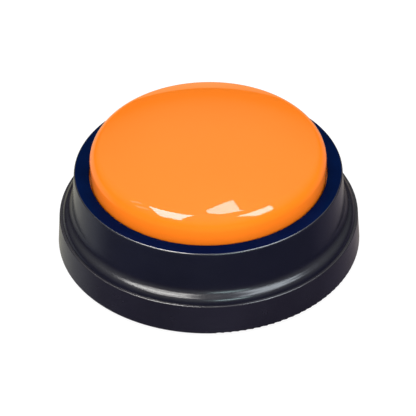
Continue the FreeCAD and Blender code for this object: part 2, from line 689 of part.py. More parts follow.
WIRES = {
    "battery_wire_positive": ((24.65, -8.6, CONTACT_TAIL_TOP), (24.65, -8.6, 21.6), (20.4, -6.2, 23.4),
                              (15.5, -4.0, 23.6), (15.5, -4.0, BOARD_TOP)),
    "battery_wire_negative": ((24.65, -17.4, CONTACT_TAIL_TOP), (24.65, -17.4, 21.4), (21.8, -19.6, 23.0),
                              (16.2, -18.6, 23.4), (11.4, -15.6, 23.6), (10.5, -11.6, 23.4),
                              (10.5, -11.6, BOARD_TOP)),
    "speaker_wire_1": ((4.0, 23.6, 8.8), (4.0, 23.6, 12.0), (4.2, 20.4, 15.4), (4.2, 20.3, 19.6),
                       (4.0, 19.2, 22.8), (3.6, 15.6, 23.4), (3.6, 15.6, BOARD_TOP)),
    "speaker_wire_2": ((-4.0, 23.6, 8.8), (-4.0, 23.6, 12.0), (-4.3, 20.3, 15.2), (-4.4, 20.4, 19.4),
                       (-4.1, 19.3, 22.9), (-3.5, 15.4, 23.5), (-3.5, 15.4, BOARD_TOP)),
    "switch_wire_1": ((28.5, 7.0, TERMINAL_TOP), (28.5, 7.0, 15.6), (28.4, 7.0, 20.2), (25.6, 6.4, 23.0),
                      (20.6, 5.0, 23.6), (15.5, 4.0, 23.4), (15.5, 4.0, BOARD_TOP)),
    "switch_wire_2": ((28.5, 9.5, TERMINAL_TOP), (28.5, 9.5, 15.4), (28.6, 9.4, 20.4), (25.4, 9.2, 23.2),
                      (20.4, 8.4, 23.4), (15.5, 8.0, 23.6), (15.5, 8.0, BOARD_TOP)),
}


def wire(route):
    return tube_along([vec(*place) for place in route], WIRE_RADIUS)


# All sub-parts, by name.

PARTS = {
    "lower_housing": lower_housing(),
    "upper_housing": upper_housing(),
    "dome_button": dome_button(),
    "dome_carrier": dome_carrier(),
    "striker_pad": striker_pad(),
    "carrier_screws": carrier_screws(),
    "chassis_plate": chassis_plate(),
    "chassis_screws": chassis_screws(),
    "circuit_board": circuit_board(),
    "board_screws": board_screws(),
    "sound_chip": sound_chip(),
    "capacitor": capacitor(),
    "resistors": resistors(),
    "driver_transistor": driver_transistor(),
    "tact_switch_base": tact_switch_base(),
    "tact_switch_cover": tact_switch_cover(),
    "tact_switch_actuator": tact_switch_actuator(),
    "speaker_gasket": speaker_gasket(),
    "speaker_frame": speaker_frame(),
    "speaker_cone": speaker_cone(),
    "speaker_magnet": speaker_magnet(),
    "speaker_retainer": speaker_retainer(),
    "retainer_screws": retainer_screws(),
    "battery_door": battery_door(),
    "door_screw": door_screw(),
    "battery_1": battery(CELL_ROWS[0], 1),
    "battery_2": battery(CELL_ROWS[1], -1),
    "contact_positive": contact_positive(),
    "contact_negative": contact_negative(),
    "contact_bridge": contact_bridge(),
    "power_switch_frame": power_switch_frame(),
    "power_switch_base": power_switch_base(),
    "power_switch_screws": power_switch_screws(),
    "power_switch_knob": power_switch_knob(),
    "case_screws": case_screws(),
}
PARTS.update({f"return_spring_{index}": return_spring(place)
              for index, place in enumerate(around(*GUIDES), 1)})
PARTS.update({f"foot_{index}": foot(place) for index, place in enumerate(CASE_SCREWS, 1)})
PARTS.update({name: wire(route) for name, route in WIRES.items()})

os.makedirs("parts", exist_ok=True)
for name, shape in PARTS.items():
    if isinstance(shape, list):
        shape = Part.makeCompound(shape)
    if not shape.isValid():
        raise ValueError(f"{name} is not a valid shape")
    shape.exportStep(f"parts/{name}.step")
    print(f"{name}: {len(shape.Solids)} solids, {shape.Volume:.1f} mm3")
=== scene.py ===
"""Looks of the round quiz buzzer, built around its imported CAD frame. Lengths are metres."""

import json
import math

import bmesh
import bpy
from mathutils import Matrix, Quaternion, Vector

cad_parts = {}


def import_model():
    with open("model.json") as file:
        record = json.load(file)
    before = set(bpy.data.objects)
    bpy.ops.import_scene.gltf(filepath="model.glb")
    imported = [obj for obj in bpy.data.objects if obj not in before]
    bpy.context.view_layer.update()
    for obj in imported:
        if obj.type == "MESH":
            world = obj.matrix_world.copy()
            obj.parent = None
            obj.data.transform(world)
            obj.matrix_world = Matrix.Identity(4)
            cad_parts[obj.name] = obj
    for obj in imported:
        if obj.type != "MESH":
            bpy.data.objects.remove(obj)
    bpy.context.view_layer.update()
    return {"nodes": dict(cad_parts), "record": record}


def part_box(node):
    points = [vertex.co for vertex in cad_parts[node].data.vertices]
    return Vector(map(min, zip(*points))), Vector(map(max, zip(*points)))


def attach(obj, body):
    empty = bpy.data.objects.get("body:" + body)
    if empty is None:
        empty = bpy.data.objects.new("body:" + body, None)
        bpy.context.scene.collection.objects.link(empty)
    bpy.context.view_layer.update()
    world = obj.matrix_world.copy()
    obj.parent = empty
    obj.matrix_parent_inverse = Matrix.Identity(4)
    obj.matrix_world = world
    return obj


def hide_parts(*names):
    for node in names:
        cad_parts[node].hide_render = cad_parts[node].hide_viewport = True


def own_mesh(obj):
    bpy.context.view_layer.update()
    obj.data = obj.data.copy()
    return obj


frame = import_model()
MM = 0.001
NODES = frame["nodes"]

# Camera, as a photographer would note it: distance, height angle, aim and a slight roll.
CAMERA_DISTANCE = 700 * MM
CAMERA_ELEVATION = math.radians(39.3)
CAMERA_AIM = Vector((-0.2, 0, 10.84)) * MM
CAMERA_ROLL = math.radians(-0.72)
CAMERA_LENS = 202.0
CAMERA_CLIP = (0.05, 20.0)
SENSOR = 36.0

# Shapes that the remade pieces share with the CAD design, in millimetres and degrees.
DOME_RADIUS = 34.65
DOME_WALL = 2.0
SHOULDER_RADIUS = 5.0
SHOULDER_HEIGHT = 29.5
CROWN_RADIUS = 84.0
FLANGE_HEIGHT = 1.3
FLANGE_ROUNDING = 0.15
DOME_BOSS_CIRCLE = 20.0
DOME_BOSS_ANGLES = (30, 150, 270)
DOME_BOSS = {"outer": 2.8, "pilot": 1.05, "low": 32.0, "high": 36.8, "hole_end": 36.0}
SKIRT_RADIUS = 45.04
SKIRT_TOP_RADIUS = 44.32
SKIRT_BOTTOM = 0.8
SKIRT_FOOT_ROUNDING = 0.5
SKIRT_TOP_ROUNDING = 0.4
TRAY_BORE = 42.3
PARTING = 10.4
BULGE = ((40.96, 9.86), 2.6)   # centre as radius and height, then its own radius
BULGE_SPAN = (12, 65)
COVE = (43.33, 14.94)   # centre as radius and height
COVE_RADIUS = 3.0
COVE_LOW_END = 245
COVER_WALL = 2.0
WALL_TAPER = 5.0
WALL_HEIGHTS = (17.0, 19.5, 22.0, 24.0)
RING_TOP = 25.7
RING_INNER_TOP = 25.4
RING_BORE = 35.0
RING_UNDERSIDE = 23.5
RING_EDGE_ROUNDING = 0.6
RING_LIP_ROUNDING = 0.3
TONGUE = (41.22, 42.2, 8.9)   # inner radius, outer radius, bottom
CASE_BOSS = {"outer": 3.0, "pilot": 1.5, "low": 7.2, "high": 18.4, "hole_end": 16.5}
SPRING_WIRE = 0.3   # radius
SPRING_TURNS = 7
SPRING_END_RISE = 2.1 * SPRING_WIRE
FOOT_DIMPLE = (1.0, 1.5, 0.35)   # floor radius, rim radius, depth
FOOT_GROOVE = (2.7, 2.85, 3.35, 3.5, 0.25)   # inner rim, floor from, floor to, outer rim, depth
FOOT_ROUNDING = 0.5

# Where the cover's finishes meet: depths below the ring's top and reach past its bore in
# millimetres, and the upward part of a face's normal.
LAND_DEPTH = 0.45
LAND_FACING = 0.93
CORNER_DEPTH = 0.7
CORNER_FACING = 0.15
BORE_REACH = 0.35

# Fineness of the round pieces.
SEGMENTS = 256
BOSS_SEGMENTS = 48
FOOT_SEGMENTS = 72
SPRING_STEPS = 32

# Surround that reflections see, graded over each direction component from -1 (0.0) to 1 (1.0).
# Diffuse light comes from FILL, and the camera sees BACKDROP.
SKY = [(0.5, (0.05, 0.045, 0.03)), (0.58, (0.075, 0.05, 0.05)), (0.67, (0.25, 0.25, 0.24)),
       (0.82, (0.55, 0.55, 0.51)), (1.0, (0.8, 0.8, 0.77))]
SWEEP_DEPTH = [(0.3, (0.05, 0.06, 0.1)), (0.5, (0.1, 0.1, 0.12)), (0.62, (0.4, 0.4, 0.42)),
               (0.85, (0.6, 0.58, 0.5)), (1.0, (0.62, 0.56, 0.33))]
SWEEP_SIDES = [(0.0, (0.65, 0.69, 0.74)), (0.35, (0.9, 0.92, 0.94)), (0.5, (1.0, 1.0, 1.0)),
               (0.65, (0.62, 0.57, 0.68)), (1.0, (0.14, 0.11, 0.19))]
FILL = (0.77, 0.77, 0.77)
BACKDROP = (1.0, 1.0, 1.0)
FLOOR_HALF = 3.0
FLOOR_COLOUR = (0.2, 0.2, 0.2)
FLOOR_GLOW = 0.88

# Softboxes for diffuse light: place, size, power and colour.
WHITE = (1.0, 1.0, 1.0)
SOFTBOXES = {
    "key": ((-0.15, -0.35, 1.1), 0.8, 3.5, WHITE),
    "front_fill": ((0.0, -1.0, 0.35), 0.6, 3.2, (1.0, 0.9, 1.0)),
    "rear_fill": ((0.0, 0.9, 0.9), 0.6, 2.4, WHITE),
    "left_fill": ((-0.9, -0.6, 0.35), 0.6, 2.0, WHITE),
    "right_fill": ((0.9, -0.6, 0.35), 0.6, 2.0, WHITE),
}

# Flat overhead panels: receivers, strength, colour, middle (x, y), size and turn in degrees.
PANEL_HEIGHT = 0.5
PANELS = {
    "window_left": (("dome_shell",), 14, (0.95, 0.9, 1.05), (-0.29, -0.30), (0.52, 0.24), 63),
    "window_middle": (("dome_shell",), 9.5, (1.0, 0.97, 1.05), (0.06, 0.02), (0.10, 0.10), 30),
    "window_right": (("dome_shell",), 12, (1.0, 0.96, 1.05), (0.48, -0.35), (0.56, 0.26), -37),
    "streak_far": (("dome_shell",), 2.0, WHITE, (-0.47, -0.03), (0.28, 0.04), 15),
    "streak_near": (("dome_shell",), 2.0, WHITE, (-0.58, -0.20), (0.30, 0.07), 10),
    "cove_left": (("cover", "tray"), 19, (1.0, 0.98, 0.95), (-0.20, -0.13), (0.24, 0.30), 0),
    "cove_right": (("cover", "tray"), 9.5, (0.85, 0.93, 1.0), (0.28, -0.15), (0.26, 0.32), 0),
}
FRONT_CARD_PLACE = Vector((0.17, -0.58, 0.52))
FRONT_CARD_SIZE = (0.28, 0.14)
FRONT_CARD_STRENGTH = 8.0
FRONT_CARD_COLOUR = (0.75, 1.0, 1.0)


# Mesh helpers.

def polar(radius, degrees):
    turn = math.radians(degrees)
    return radius * math.cos(turn), radius * math.sin(turn)


def arc(centre, radius, start, end, steps):
    """Points of an arc in the radius-height plane, angles in degrees."""
    points = []
    for index in range(steps + 1):
        across, up = polar(radius, start + (end - start) * index / steps)
        points.append((centre[0] + across, centre[1] + up))
    return points


def rounded(before, corner, after, radius, steps=8):
    """Points of the arc that rounds a corner between two straight lines."""
    start, middle, end = (Vector(point) for point in (before, corner, after))
    inward = (start - middle).normalized()
    outward = (end - middle).normalized()
    half = inward.angle(outward) / 2
    reach = radius / math.tan(half)
    centre = middle + (inward + outward).normalized() * (radius / math.sin(half))
    first = middle + inward * reach - centre
    last = middle + outward * reach - centre
    sweep = first.angle_signed(last)
    points = []
    for index in range(steps + 1):
        turned = first.copy()
        turned.rotate(Matrix.Rotation(-sweep * index / steps, 2))
        points.append(tuple(centre + turned))
    return points


def new_piece(name, data, *materials, sharp=30, choose=None):
    """Object from a bmesh, smooth apart from edges sharper than the given angle."""
    mesh = bpy.data.meshes.new(name)
    bmesh.ops.recalc_face_normals(data, faces=data.faces)
    if choose:
        for face in data.faces:
            face.material_index = choose(face)
    data.to_mesh(mesh)
    data.free()
    mesh.shade_smooth()
    mesh.set_sharp_from_angle(angle=math.radians(sharp))
    for material in materials:
        mesh.materials.append(material)
    piece = bpy.data.objects.new(name, mesh)
    bpy.context.scene.collection.objects.link(piece)
    return piece


def settle(piece, body, slot, *nodes):
    """Even shading by face area, then what the piece rides on and stands for; the slot argument is not
    used.
    """
    modifier = piece.modifiers.new("shading", "WEIGHTED_NORMAL")
    modifier.keep_sharp = True
    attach(piece, body)
    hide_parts(*nodes)
    return piece


def lathe(data, outline, place=(0, 0), segments=SEGMENTS):
    """Adds a closed outline of (radius, height) millimetre points, turned about an upright axis."""
    rings = []
    for radius, height in outline:
        if radius < 1e-6:
            rings.append([data.verts.new(Vector((place[0], place[1], height)) * MM)])
            continue
        rows = []
        for index in range(segments):
            x, y = polar(radius, 360 * index / segments)
            rows.append(data.verts.new(Vector((place[0] + x, place[1] + y, height)) * MM))
        rings.append(rows)
    for low, high in zip(rings, rings[1:] + rings[:1]):
        for index in range(segments):
            following = (index + 1) % segments
            if len(low) == 1 and len(high) == 1:
                continue
            if len(low) == 1:
                data.faces.new((low[0], high[following], high[index]))
            elif len(high) == 1:
                data.faces.new((low[index], low[following], high[0]))
            else:
                data.faces.new((low[index], low[following], high[following], high[index]))


def boss(data, place, outer, pilot, low, high, hole_end):
    """Round boss with a blind pilot hole that opens downwards."""
    outline = [(pilot, low), (outer, low), (outer, high), (0, high), (0, hole_end), (pilot, hole_end)]
    lathe(data, outline, place, BOSS_SEGMENTS)


def sweep(data, path, radius, sides=12):
    """Round wire along a list of points, closed at both ends."""
    rings = []
    for index, point in enumerate(path):
        along = (path[min(index + 1, len(path) - 1)] - path[max(index - 1, 0)]).normalized()
        side = along.cross(Vector((0, 0, 1))).normalized()
        up = side.cross(along)
        ring = []
        for step in range(sides):
            across, rise = polar(radius, 360 * step / sides)
            ring.append(data.verts.new(point + side * across + up * rise))
        rings.append(ring)
    for low, high in zip(rings, rings[1:]):
        for step in range(sides):
            following = (step + 1) % sides
            data.faces.new((low[step], low[following], high[following], high[step]))
    data.faces.new(rings[0][::-1])
    data.faces.new(rings[-1])


# Materials.

class Shader:
    """A material built from nodes, with short calls for what the finishes below need."""

    def __init__(self, name):
        self.material = bpy.data.materials.new(name)
        self.material.use_nodes = True
        self.tree = self.material.node_tree
        self.bsdf = self.tree.nodes["Principled BSDF"]
        self.place = self.add("ShaderNodeTexCoord").outputs["Object"]

    def add(self, kind, **settings):
        made = self.tree.nodes.new(kind)
        for name, value in settings.items():
            setattr(made, name, value)
        return made

    def link(self, source, target):
        self.tree.links.new(source, target)

    def mapped(self, stretch):
        mapping = self.add("ShaderNodeMapping")
        mapping.inputs["Scale"].default_value = stretch
        self.link(self.place, mapping.inputs["Vector"])
        return mapping.outputs["Vector"]

    def noise(self, scale, detail=3.0, stretch=None):
        made = self.add("ShaderNodeTexNoise")
        made.inputs["Scale"].default_value = scale
        made.inputs["Detail"].default_value = detail
        self.link(self.mapped(stretch) if stretch else self.place, made.inputs["Vector"])
        return made.outputs["Fac"]

    def cells(self, scale, output="Distance", distance="EUCLIDEAN"):
        made = self.add("ShaderNodeTexVoronoi", distance=distance)
        made.inputs["Scale"].default_value = scale
        self.link(self.place, made.inputs["Vector"])
        return made.outputs[output]

    def axis(self, name, source=None):
        split = self.add("ShaderNodeSeparateXYZ")
        self.link(source or self.place, split.inputs["Vector"])
        return split.outputs[name]

    def facing(self, name):
        """Component of the surface normal along X, Y or Z."""
        return self.axis(name, self.add("ShaderNodeNewGeometry").outputs["Normal"])

    def maths(self, operation, first, second=0.0):
        made = self.add("ShaderNodeMath", operation=operation)
        for socket, value in zip(made.inputs, (first, second)):
            if isinstance(value, (int, float)):
                socket.default_value = value
            else:
                self.link(value, socket)
        return made.outputs[0]

    def ramp(self, source, stops, interpolation="LINEAR"):
        """Colour ramp; stops are (position, colour)."""
        made = self.add("ShaderNodeValToRGB")
        made.color_ramp.interpolation = interpolation
        elements = made.color_ramp.elements
        while len(elements) < len(stops):
            elements.new(1.0)
        for element, (position, colour) in zip(elements, stops):
            element.position = position
            element.color = (*colour, 1.0)
        self.link(source, made.inputs["Fac"])
        return made.outputs["Color"]

    def spread(self, source, low, high, start=0.3, end=0.7):
        """Maps a range of a value, such as the middle of a noise, to another range."""
        made = self.add("ShaderNodeMapRange")
        made.inputs["From Min"].default_value = start
        made.inputs["From Max"].default_value = end
        made.inputs["To Min"].default_value = low
        made.inputs["To Max"].default_value = high
        self.link(source, made.inputs["Value"])
        return made.outputs["Result"]

    def mix(self, factor, first, second):
        made = self.add("ShaderNodeMix", data_type="RGBA")
        self.link(factor, made.inputs["Factor"])
        for socket, value in ((made.inputs["A"], first), (made.inputs["B"], second)):
            if isinstance(value, tuple):
                socket.default_value = (*value, 1.0)
            else:
                self.link(value, socket)
        return made.outputs["Result"]

    def colour(self, source):
        self.link(source, self.bsdf.inputs["Base Color"])

    def roughness(self, source):
        self.link(source, self.bsdf.inputs["Roughness"])

    def metal(self, source):
        self.link(source, self.bsdf.inputs["Metallic"])

    def bump(self, source, depth_mm):
        made = self.add("ShaderNodeBump")
        made.inputs["Strength"].default_value = 1.0
        made.inputs["Distance"].default_value = depth_mm * MM
        self.link(source, made.inputs["Height"])
        previous = self.bsdf.inputs["Normal"]
        if previous.is_linked:
            self.link(previous.links[0].from_socket, made.inputs["Normal"])
        self.link(made.outputs["Normal"], previous)

    def value(self, **sockets):
        names = {"metallic": "Metallic", "specular": "Specular IOR Level", "coat": "Coat Weight",
                 "coat_roughness": "Coat Roughness"}
        for name, value in sockets.items():
            self.bsdf.inputs[names[name]].default_value = value


def moulded(name, dark, light, rough, grain=(2500, 0.004), blotch=60, **values):
    """Moulded plastic, rubber or resin: faint colour drift, uneven gloss and a fine grain."""
    shader = Shader(name)
    shader.colour(shader.ramp(shader.noise(blotch), [(0.35, dark), (0.65, light)]))
    shader.roughness(shader.spread(shader.noise(blotch * 4, 4), *rough))
    shader.bump(shader.noise(grain[0], 2), grain[1])
    shader.value(**values)
    return shader.material


def drawn_metal(name, dark, light, rough, stretch):
    """Metal with fine lines from drawing, rolling or turning."""
    shader = Shader(name)
    fineness = 400
    shader.colour(shader.ramp(shader.noise(fineness, 4, stretch), [(0.3, dark), (0.7, light)]))
    shader.roughness(shader.spread(shader.noise(fineness * 2, 3, stretch), *rough))
    shader.bump(shader.noise(fineness * 3, 2, stretch), 0.003)
    shader.value(metallic=1.0)
    return shader.material


def dome_gloss():
    """Bright orange gloss, almost even, with the faintest waviness of a moulded lens."""
    shader = Shader("orange_gloss")
    tones = [(0.3, (0.955, 0.207, 0.010)), (0.7, (0.965, 0.217, 0.012))]
    shader.colour(shader.ramp(shader.noise(25, 2), tones))
    shader.roughness(shader.spread(shader.noise(180, 4), 0.02, 0.035))
    shader.bump(shader.noise(90, 1), 0.0006)
    shader.value(specular=0.5)
    return shader.material


def ring_gloss():
    """Deep navy land of the ring: an even, faintly grained polish."""
    shader = Shader("navy_ring")
    tones = [(0.3, (0.0002, 0.0048, 0.034)), (0.7, (0.0004, 0.0070, 0.046))]
    shader.colour(shader.ramp(shader.noise(120, 3), tones))
    shader.roughness(shader.spread(shader.noise(300, 4), 0.12, 0.2))
    shader.bump(shader.noise(1500, 2), 0.001)
    shader.value(specular=0.01)
    return shader.material


def edge_gloss(name, colour, coat):
    """Corner finish that reflects more strongly than the faces beside it, with a colour up to 1.3 times
    as light as a painted highlight along the edge.
    """
    shader = Shader(name)
    painted_highlight = tuple(part * 1.3 for part in colour)
    shader.colour(shader.ramp(shader.noise(90), [(0.35, colour), (0.65, painted_highlight)]))
    shader.roughness(shader.spread(shader.noise(260, 3), 0.2, 0.3))
    shader.value(specular=0.8, coat=coat, coat_roughness=0.18)
    return shader.material


def base_plastic(name, dark, light, gloss, grain_mm):
    """Satin black moulding whose underside has the coarse spark-eroded texture of a mould floor."""
    shader = Shader(name)
    shader.colour(shader.ramp(shader.noise(45), [(0.35, dark), (0.65, light)]))
    under = shader.spread(shader.facing("Z"), 1.0, 0.0, -0.9, -0.5)
    smooth = shader.spread(shader.noise(240, 4), *gloss)
    shader.roughness(shader.maths("MAXIMUM", smooth, shader.maths("MULTIPLY", under, 0.55)))
    shader.bump(shader.noise(2500, 2), grain_mm)
    shader.bump(shader.maths("MULTIPLY", under, shader.noise(1900, 3)), 0.05)
    shader.value(specular=0.5)
    return shader.material


def circuit_green():
    """Solder mask over straight copper tracks, with tinned dots where parts are soldered."""
    shader = Shader("board_green")
    mask = shader.ramp(shader.noise(80), [(0.35, (0.006, 0.075, 0.022)), (0.65, (0.009, 0.095, 0.03))])
    track = (0.03, 0.2, 0.06)
    track_rate = 3900
    track_edge = 0.55
    patch = shader.axis("X", shader.cells(170, "Color", "CHEBYCHEV"))
    along_x = shader.maths("SINE", shader.maths("MULTIPLY", shader.axis("Y"), track_rate))
    along_y = shader.maths("SINE", shader.maths("MULTIPLY", shader.axis("X"), track_rate))
    row_patch = shader.maths("LESS_THAN", patch, 0.4)
    column_patch = shader.maths("GREATER_THAN", patch, 0.62)
    rows = shader.maths("MULTIPLY", shader.maths("GREATER_THAN", along_x, track_edge), row_patch)
    columns = shader.maths("MULTIPLY", shader.maths("GREATER_THAN", along_y, track_edge), column_patch)
    tracks = shader.maths("MAXIMUM", rows, columns)
    dots = shader.maths("MULTIPLY", shader.maths("LESS_THAN", shader.cells(420), 0.2),
                        shader.maths("GREATER_THAN", shader.noise(150, 1), 0.56))
    shader.colour(shader.mix(dots, shader.mix(tracks, mask, track), (0.7, 0.68, 0.6)))
    shader.metal(dots)
    shader.roughness(shader.spread(shader.noise(300), 0.28, 0.4))
    shader.bump(tracks, 0.03)
    shader.value(coat=0.3)
    return shader.material


def chip_ends():
    """Dark chip bodies with tinned end caps, in three columns across the board."""
    shader = Shader("chip_component")
    half_chip = 1.0
    cap_start = 0.62
    middle_column = -7.0
    low, high = (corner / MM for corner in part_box("resistors"))
    across = shader.maths("MULTIPLY", shader.axis("X"), 1 / MM)
    near = None
    for centre in (low.x + half_chip, middle_column, high.x - half_chip):
        offset = shader.maths("ABSOLUTE", shader.maths("SUBTRACT", across, centre))
        near = offset if near is None else shader.maths("MINIMUM", near, offset)
    cap = shader.maths("GREATER_THAN", near, cap_start)
    body = shader.ramp(shader.noise(500), [(0.3, (0.012, 0.012, 0.014)), (0.7, (0.03, 0.03, 0.032))])
    shader.colour(shader.mix(cap, body, (0.68, 0.67, 0.63)))
    shader.metal(cap)
    shader.roughness(shader.spread(shader.noise(700), 0.3, 0.5))
    shader.bump(shader.noise(3000), 0.004)
    return shader.material


def capacitor_skin():
    """Blue sleeve with a pale stripe down one side and a bare aluminium top."""
    shader = Shader("capacitor_skin")
    bare_top = 0.15
    stripe_width = 0.7
    low, high = (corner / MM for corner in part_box("capacitor"))
    top = shader.maths("GREATER_THAN", shader.axis("Z"), (high.z - bare_top) * MM)
    stripe = shader.maths("LESS_THAN", shader.axis("X"), (low.x + stripe_width) * MM)
    sleeve = shader.ramp(shader.noise(300), [(0.3, (0.006, 0.01, 0.06)), (0.7, (0.009, 0.014, 0.075))])
    shader.colour(shader.mix(top, shader.mix(stripe, sleeve, (0.5, 0.52, 0.58)), (0.75, 0.75, 0.76)))
    shader.metal(top)
    shader.roughness(shader.spread(shader.noise(600), 0.25, 0.4))
    shader.bump(shader.noise(1200), 0.006)
    return shader.material


def cell_sleeve(node, sign):
    """Cell with a printed sleeve in two plain colours and bright steel ends."""
    shader = Shader(f"{node}_sleeve")
    sleeve_start = 0.022
    sleeve_end = 0.955
    steel = (0.62, 0.62, 0.6)
    low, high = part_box(node)
    along = shader.spread(shader.axis("X"), *((0.0, 1.0) if sign > 0 else (1.0, 0.0)), low.x, high.x)
    drift = shader.spread(shader.noise(220, 4), 0.92, 1.0)
    stops = [(0.0, steel), (sleeve_start, (0.012, 0.02, 0.016)), (0.64, (0.75, 0.7, 0.55)),
             (0.66, (0.02, 0.16, 0.07)), (sleeve_end, steel)]
    bands = shader.ramp(along, stops, "CONSTANT")
    tint = shader.add("ShaderNodeMix", data_type="RGBA", blend_type="MULTIPLY")
    tint.inputs["Factor"].default_value = 1.0
    shader.link(bands, tint.inputs["A"])
    shader.link(drift, tint.inputs["B"])
    shader.colour(tint.outputs["Result"])
    shader.metal(shader.maths("MAXIMUM", shader.maths("LESS_THAN", along, sleeve_start),
                              shader.maths("GREATER_THAN", along, sleeve_end)))
    shader.roughness(shader.spread(shader.noise(400, 4, (20, 1, 1)), 0.2, 0.34))
    shader.bump(shader.noise(900, 2), 0.004)
    shader.value(coat=0.4, coat_roughness=0.15)
    return shader.material


def foam():
    """Closed-cell foam: rough grey with small round pores."""
    shader = Shader("foam_grey")
    pores = shader.cells(2200)
    # The pores are darker towards their middles: painted shade in the pits that the bump makes.
    shader.colour(shader.ramp(pores, [(0.1, (0.015, 0.015, 0.016)), (0.5, (0.05, 0.05, 0.052))]))
    shader.roughness(shader.spread(shader.noise(500), 0.85, 1.0))
    shader.bump(pores, 0.08)
    return shader.material


def cone_paper():
    """Pressed paper pulp: near black, fibrous and matt, with faint pressed rings."""
    shader = Shader("cone_paper")
    fibres = shader.noise(1400, 6, (1, 3, 3))
    shader.colour(shader.ramp(fibres, [(0.3, (0.012, 0.011, 0.01)), (0.7, (0.035, 0.033, 0.03))]))
    shader.roughness(shader.spread(fibres, 0.75, 0.95))
    shader.bump(fibres, 0.04)
    return shader.material


def laminate():
    """Brown phenolic laminate, with its paper layers showing on the cut edges."""
    shader = Shader("phenolic_brown")
    layers = shader.noise(900, 4, (1, 1, 9))
    shader.colour(shader.ramp(layers, [(0.3, (0.085, 0.032, 0.009)), (0.7, (0.15, 0.062, 0.018))]))
    shader.roughness(shader.spread(layers, 0.35, 0.55))
    shader.bump(layers, 0.01)
    return shader.material


def insulation(name, dark, light):
    """Extruded PVC: soft sheen and the slight ripple of the strands inside."""
    shader = Shader(name)
    ripple = shader.noise(700, 2)
    shader.colour(shader.ramp(ripple, [(0.3, dark), (0.7, light)]))
    shader.roughness(shader.spread(shader.noise(900), 0.35, 0.5))
    shader.bump(ripple, 0.02)
    return shader.material


def plain_finishes():
    """Material for each of the record's slots that a CAD node keeps."""
    return {
        "tray_black": base_plastic("tray_plastic", (0.0085, 0.0075, 0.0135), (0.0115, 0.0105, 0.018),
                                   (0.2, 0.28), 0.003),
        "inner_white": moulded("inner_white", (0.56, 0.54, 0.48), (0.64, 0.62, 0.56), (0.42, 0.55),
                               (1500, 0.01)),
        "foot_rubber": moulded("foot_rubber", (0.010, 0.010, 0.011), (0.017, 0.017, 0.018), (0.65, 0.85),
                               (1800, 0.03), 300, specular=0.3),
        "pad_rubber": moulded("pad_rubber", (0.03, 0.03, 0.033), (0.045, 0.045, 0.05), (0.6, 0.8),
                              (1500, 0.02), 300),
        "screw_steel": drawn_metal("screw_steel", (0.42, 0.42, 0.40), (0.62, 0.62, 0.59), (0.22, 0.38),
                                   (4, 4, 40)),
        "spring_steel": drawn_metal("spring_steel", (0.45, 0.45, 0.46), (0.7, 0.7, 0.7), (0.15, 0.28),
                                    (3, 3, 20)),
        "board_green": circuit_green(),
        "chip_resin": moulded("chip_resin", (0.003, 0.003, 0.003), (0.007, 0.007, 0.007), (0.12, 0.3),
                              (900, 0.03)),
        "capacitor_sleeve": capacitor_skin(),
        "component_dark": moulded("component_dark", (0.007, 0.007, 0.008), (0.014, 0.014, 0.015),
                                  (0.4, 0.6)),
        "switch_body": moulded("switch_body", (0.01, 0.01, 0.011), (0.018, 0.018, 0.019), (0.4, 0.55)),
        "sheet_steel": drawn_metal("sheet_steel", (0.5, 0.5, 0.48), (0.7, 0.7, 0.67), (0.25, 0.4),
                                   (25, 1, 1)),
        "button_black": moulded("button_black", (0.007, 0.007, 0.007), (0.012, 0.012, 0.012),
                                (0.25, 0.35)),
        "foam_grey": foam(),
        "cone_paper": cone_paper(),
        "magnet_plated": drawn_metal("magnet_plated", (0.42, 0.42, 0.43), (0.58, 0.58, 0.58), (0.16, 0.3),
                                     (2, 2, 2)),
        "contact_nickel": drawn_metal("contact_nickel", (0.6, 0.58, 0.52), (0.76, 0.74, 0.68),
                                      (0.18, 0.3), (1, 25, 1)),
        "phenolic_brown": laminate(),
        "knob_black": moulded("knob_black", (0.009, 0.009, 0.01), (0.016, 0.016, 0.018), (0.35, 0.5),
                              (2500, 0.01)),
        "wire_red": insulation("wire_red", (0.30, 0.005, 0.004), (0.38, 0.009, 0.007)),
        "wire_black": insulation("wire_black", (0.006, 0.006, 0.006), (0.011, 0.011, 0.011)),
        "wire_white": insulation("wire_white", (0.5, 0.5, 0.47), (0.6, 0.6, 0.57)),
        "wire_blue": insulation("wire_blue", (0.006, 0.02, 0.2), (0.01, 0.03, 0.27)),
    }


# Pieces.

def dome_piece():
    """Orange shell: flange, straight wall, rounded shoulder and shallow crown, with its bosses."""
    low, high = (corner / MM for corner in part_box("dome_button"))
    flange = high.x
    bottom = low.z
    flange_top = bottom + FLANGE_HEIGHT
    shoulder = (DOME_RADIUS - SHOULDER_RADIUS, SHOULDER_HEIGHT)
    crown = (0.0, high.z - CROWN_RADIUS)
    turn = math.degrees(math.atan2(shoulder[1] - crown[1], shoulder[0]))
    inner = DOME_RADIUS - DOME_WALL
    low_corner = (flange, bottom)
    high_corner = (flange, flange_top)
    wall_foot = (DOME_RADIUS, flange_top)
    outline = [(inner, bottom)]
    outline += rounded((inner, bottom), low_corner, high_corner, FLANGE_ROUNDING, 3)
    outline += rounded(low_corner, high_corner, wall_foot, FLANGE_ROUNDING, 3)
    outline += [wall_foot]
    wall = SHOULDER_HEIGHT - flange_top
    outline += [(DOME_RADIUS, flange_top + wall * step / 4) for step in range(1, 4)]
    outline += arc(shoulder, SHOULDER_RADIUS, 0, turn, 24)[:-1]
    outline += arc(crown, CROWN_RADIUS, turn, 90, 40)[:-1] + [(0.0, high.z)]
    outline += [(0.0, high.z - DOME_WALL)] + arc(crown, CROWN_RADIUS - DOME_WALL, 90, turn, 20)[1:-1]
    outline += arc(shoulder, SHOULDER_RADIUS - DOME_WALL, turn, 0, 10)
    data = bmesh.new()
    lathe(data, outline)
    for angle in DOME_BOSS_ANGLES:
        boss(data, polar(DOME_BOSS_CIRCLE, angle), **DOME_BOSS)
    settle(new_piece("dome_shell", data, dome_gloss()), "dome", "dome_orange", "dome_button")


